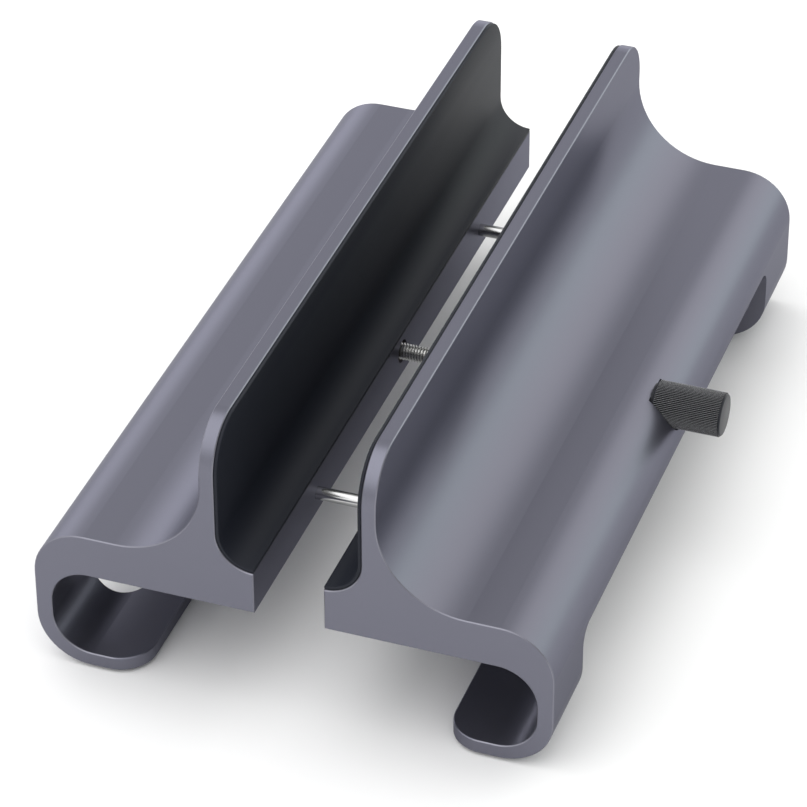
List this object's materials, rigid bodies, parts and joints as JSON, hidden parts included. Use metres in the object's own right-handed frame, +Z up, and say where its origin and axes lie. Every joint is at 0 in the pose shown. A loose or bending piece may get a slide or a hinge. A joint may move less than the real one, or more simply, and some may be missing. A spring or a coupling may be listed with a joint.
{
  "type": "vertical laptop stand",
  "caption": "Adjustable upright laptop stand: two extruded aluminium jaws with soft linings slide on guide rods and close by a knurled screw.",
  "frame": {"origin": "centre of the stand's footprint box on the surface it stands on, with the foot pads' soles at z = 0", "axes": "+X across the slot towards the jaw with the knob, +Y along the slot towards the rear, +Z up"},
  "size_m": [0.1286, 0.19, 0.0701],
  "materials": {
    "anodised_aluminium": "fine bead-blasted grey anodising with bright chamfers",
    "lining_rubber": "near-black satin silicone",
    "pad_rubber": "matt black silicone",
    "knob_black": "black oxide with a straight knurl",
    "ground_steel": "polished guide rods and screw",
    "screw_steel": "plain steel screw thread and small parts",
    "bush_polymer": "dark bearing polymer",
    "insert_brass": "turned brass insert"
  },
  "bodies": {
    "fixed_jaw": {"right_bracket": "anodised_aluminium", "right_liner": "lining_rubber", "right_front_foot_pad": "pad_rubber", "right_rear_foot_pad": "pad_rubber", "front_guide_bush": "bush_polymer", "rear_guide_bush": "bush_polymer", "screw_bush": "bush_polymer", "thrust_washer": "bush_polymer"},
    "moving_jaw": {"left_bracket": "anodised_aluminium", "left_liner": "lining_rubber", "left_front_foot_pad": "pad_rubber", "left_rear_foot_pad": "pad_rubber", "front_guide_rod": "ground_steel", "rear_guide_rod": "ground_steel", "front_rod_grub_screw": "screw_steel", "rear_rod_grub_screw": "screw_steel", "drive_nut": "insert_brass"},
    "screw": {"adjusting_screw": "screw_steel", "retaining_ring": "screw_steel", "knob": "knob_black", "knob_grub_screw": "screw_steel"}
  },
  "joints": [
    {"name": "knob_turn", "type": "hinge", "parent": "fixed_jaw", "child": "screw", "pos_m": [0.00302, 0, 0.0316], "axis": [-1, 0, 0], "range_deg": [0, 7920]},
    {"name": "jaw_slide", "type": "slide", "parent": "fixed_jaw", "child": "moving_jaw", "axis": [1, 0, 0], "range_m": [0, 0.0154]}
  ],
  "couplings": [
    {"joint": "knob_turn", "follows": "jaw_slide", "rad_per_m": 8976}
  ]
}
